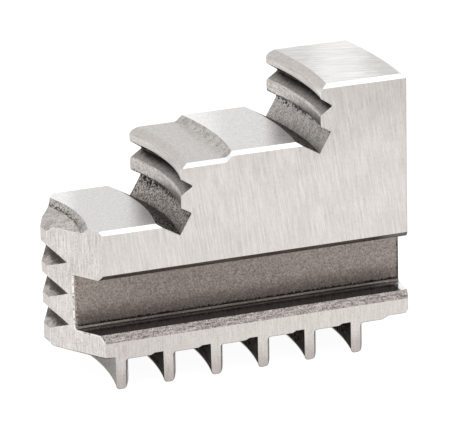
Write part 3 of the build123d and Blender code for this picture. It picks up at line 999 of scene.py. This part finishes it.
    def break_edges(self, points: Array, triangles: Array, which: Array) -> Pair:
        """Breaks the edges of the ground sides.

        Each point of a side's outline moves inwards within the side, until both lines of the
        outline that meet there have gone back by their widths: by the sum of the lines' outward
        directions times their widths, divided by half the square of the directions' sum. The
        triangles between the side and the cut behind it become the flat of the broken edge.

        Args:
            points: the points in mm, with the cuts behind the sides.
            triangles: point numbers of the triangles.
            which: place of each triangle's zone in the list of zones.

        Returns:
            The moved points, and the zones with those of the flats.
        """
        number = self.zones.index
        moved, zones = points.copy(), which.copy()
        low = points[triangles][:, :, 2].mean(axis=1) < self.lower_edge_top
        for side in self.sides():
            depth = side.distance - points @ side.direction
            face = (np.abs(depth) < self.close)[triangles].all(axis=1)
            ends, beyond = self.outline(triangles, len(points), face)
            widths = self.widths(side.on_wedge)[which]
            outward = np.cross(points[ends[:, 1]] - points[ends[:, 0]], side.direction)
            outward /= np.linalg.norm(outward, axis=1)[:, None]
            total, push = np.zeros((2, *points.shape))
            np.add.at(total, ends.reshape(-1), np.repeat(outward, 2, axis=0))
            np.add.at(push, ends.reshape(-1), np.repeat(outward * widths[beyond][:, None], 2, axis=0))
            moved -= push / np.maximum((total**2).sum(axis=1) / 2, self.least_turn)[:, None]
            behind = between(depth, -self.close, self.edge_break + self.close)[triangles].all(axis=1)
            flat = np.where(low, number(Zone.LOWER_EDGE), number(Zone.EDGE))
            flat = np.where(widths > self.edge_break, number(Zone.WORN_EDGE), flat)
            flat = np.where(which == number(Zone.OUTER_END), which, flat)
            zones = np.where(behind & ~face & (widths > 0), flat, zones)
        return moved, zones

    def join_flats(self, mesh: bpy.types.Mesh) -> None:
        """Joins the triangles that lie flat within a zone into one face.

        Args:
            mesh: the mesh, with its zones as material numbers.
        """
        work = bmesh.new()
        work.from_mesh(mesh)
        bmesh.ops.dissolve_limit(
            work, angle_limit=self.flat_angle, verts=work.verts, edges=work.edges, delimit={"MATERIAL"}
        )
        work.to_mesh(mesh)
        work.free()

    def measure(self, mesh: bpy.types.Mesh) -> None:
        """Stores on each point how far in mm it is behind the gripping face that it belongs to,
        and how far above the floor in front of that face.

        Args:
            mesh: the dressed mesh.
        """
        x, y, z = rows(mesh.vertices, "co").T / MM
        measures = self.from_face(np.hypot(x - self.axis_x, y), z)
        for measure, values in zip((Measure.BEHIND_FACE, Measure.ABOVE_FLOOR), measures):
            layer = mesh.attributes.new(measure.value, "FLOAT", "POINT")
            layer.data.foreach_set("value", values.astype(np.float32))

    def build(self, shop: Workshop) -> bpy.types.Object:
        """Builds the dressed jaw.

        The welded triangles are cut behind the sides and joined into flat faces within each zone,
        and then the outlines of the sides move to give the broken edges. Till then each point
        carries its moved place with it.

        Args:
            shop: gives the materials.

        Returns:
            The finished object, in metres at the origin.
        """
        points, triangles = self.cut(*self.welded())
        moved, which = self.break_edges(points, triangles, self.zone_of(points, triangles))
        mesh = bpy.data.meshes.new("jaw_dressed")
        mesh.from_pydata((points * MM).tolist(), [], triangles.tolist())
        for zone in self.zones:
            mesh.materials.append(shop.material(zone.value))
        mesh.polygons.foreach_set("material_index", which.astype(np.int32))
        carried = mesh.attributes.new("moved", "FLOAT_VECTOR", "POINT")
        carried.data.foreach_set("vector", (moved * MM).reshape(-1))
        self.join_flats(mesh)
        mesh.vertices.foreach_set("co", rows(mesh.attributes["moved"].data, "vector").reshape(-1))
        mesh.attributes.remove(mesh.attributes["moved"])
        mesh.update()
        jaw = put("jaw_dressed", mesh)
        self.measure(mesh)
        mesh.shade_smooth()
        mesh.set_sharp_from_angle(angle=self.sharp_angle)
        return jaw


# Studio


@dataclass(frozen=True)
class Camera:
    """The photograph's camera: where it looks from, its turn, tilt and roll, and its lens. The
    point looked at, the distance and the offsets aside and above are in mm."""

    looks_at: Triple = (1.587, 0.0, 22.0)
    distance: float = 702.15
    turn: float = math.radians(21.195)
    tilt: float = math.radians(18.052)
    roll: float = math.radians(1.347)
    aside: float = 0.063
    above: float = -0.198
    lens: float = 352.36
    film_width: float = 36.0
    nearest: float = 0.01
    farthest: float = 20.0

    def place(self) -> None:
        """Puts up the camera. Its place is the point looked at, plus the distance backwards, less
        the small sideways and upward offsets; its axes are right, up and back."""
        c, s = math.cos, math.sin
        right = np.array([c(self.turn), -s(self.turn), 0.0])
        back = np.array([-s(self.turn) * c(self.tilt), -c(self.turn) * c(self.tilt), s(self.tilt)])
        up = np.cross(back, right)
        right, up = right * c(self.roll) - up * s(self.roll), right * s(self.roll) + up * c(self.roll)
        eye = np.array(self.looks_at) + back * self.distance - right * self.aside - up * self.above
        data = bpy.data.cameras.new("camera")
        data.sensor_width, data.sensor_fit = self.film_width, "HORIZONTAL"
        data.lens = self.lens
        data.clip_start, data.clip_end = self.nearest, self.farthest
        camera = put("camera", data)
        matrix = np.eye(4)
        matrix[:3, :3] = np.stack([right, up, back], axis=1)
        matrix[:3, 3] = eye * MM
        camera.matrix_world = Matrix(matrix.tolist())
        bpy.context.scene.camera = camera


@dataclass(frozen=True)
class Softbox:
    """A lamp with a flat face: its place and size in metres, how bright its face is, 1 being
    white, and the point that it is turned to."""

    name: str
    place: Triple
    width: float
    height: float
    brightness: float
    target: Triple = (0.0, 0.0, 0.022)

    def hang(self) -> None:
        """Hangs the lamp, turned to its target. A face as bright as white gives pi watts for each
        square metre."""
        data = bpy.data.lights.new(self.name, "AREA")
        data.shape = "RECTANGLE"
        data.size, data.size_y = self.width, self.height
        data.energy = self.brightness * math.pi * self.width * self.height
        lamp = put(self.name, data)
        lamp.location = self.place
        lamp.rotation_euler = (Vector(self.target) - Vector(self.place)).to_track_quat("-Z", "Y").to_euler()


@dataclass(frozen=True)
class Studio:
    """Plain pale floor and white surroundings, with soft lamps.

    The fill is how bright the surroundings are for rays that aren't seen. The floor, whose half
    width is in metres, glows where it is seen and has another tone there.
    """

    fill: float = 0.8
    floor_half: float = 1.5
    floor_glow: float = 0.95
    floor_tone: float = 0.8
    floor_tone_seen: float = 0.2
    lamps: tuple[Softbox, ...] = (
        Softbox("overhead", (0.15, -0.22, 0.75), 0.6, 0.5, 0.6),
        Softbox("behind", (0.35, 0.75, 0.42), 0.8, 0.4, 0.08),
    )

    def seen(self, tree: Tree) -> Socket:
        """Is 1 for what the camera sees, straight or in metal or glass.

        Args:
            tree: tree of the floor's material or of the world.

        Returns:
            The greatest of the three kinds of ray.
        """
        rays = add(tree, "LightPath").outputs
        either = math_node(tree, "MAXIMUM", rays["Is Camera Ray"], rays["Is Glossy Ray"])
        return math_node(tree, "MAXIMUM", either, rays["Is Transmission Ray"])

    def surround(self) -> None:
        """Makes the white surroundings, dimmer for rays that aren't seen."""
        world = bpy.data.worlds.new("studio")
        bpy.context.scene.world = world
        world.use_nodes = True
        tree = world.node_tree
        background = tree.nodes["Background"]
        strength = add(tree, "MapRange", {"Value": self.seen(tree), "To Min": self.fill, "To Max": 1.0})
        tree.links.new(strength.outputs[0], background.inputs["Strength"])
        background.inputs["Color"].default_value = WHITE

    def floor_material(self) -> bpy.types.Material:
        """Makes the floor's material: pale and dull, and shining faintly where it is seen.

        Returns:
            The material.
        """
        material = bpy.data.materials.new("pale_floor")
        material.use_nodes = True
        tree = material.node_tree
        shader = tree.nodes["Principled BSDF"]
        seen = self.seen(tree)
        sockets = {"Value": seen, "To Min": self.floor_tone, "To Max": self.floor_tone_seen}
        tree.links.new(add(tree, "MapRange", sockets).outputs[0], shader.inputs["Base Color"])
        shader.inputs["Roughness"].default_value = 1.0
        shader.inputs["Specular IOR Level"].default_value = 0.0
        shader.inputs["Emission Color"].default_value = WHITE
        glow = math_node(tree, "MULTIPLY", seen, self.floor_glow)
        tree.links.new(glow, shader.inputs["Emission Strength"])
        return material

    def build(self) -> None:
        """Builds the surroundings, the floor and the lamps."""
        self.surround()
        side = np.array([-1.0, 1.0]) * self.floor_half
        corners = np.stack(np.meshgrid(side, side, [0.0], indexing="ij"), axis=-1).reshape(-1, 3)
        mesh = bpy.data.meshes.new("floor")
        mesh.from_pydata(corners.tolist(), [], [(0, 2, 3, 1)])
        floor = put("floor", mesh)
        mesh.materials.append(self.floor_material())
        for lamp in self.lamps:
            lamp.hang()
        bpy.context.scene.view_settings.view_transform = "Standard"


def main() -> None:
    """Builds the camera, the studio and the dressed jaw."""
    logging.basicConfig(level=logging.INFO, format="%(name)s: %(message)s")
    Camera().place()
    Studio().build()
    jaw = HardJaw()
    dressed = jaw.build(Workshop(jaw.axis_x * MM))
    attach(dressed, "root")
    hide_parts(jaw.node)
    log.info("jaw: %d faces in %d zones", len(dressed.data.polygons), len(jaw.zones))


if __name__ == "__main__":
    main()
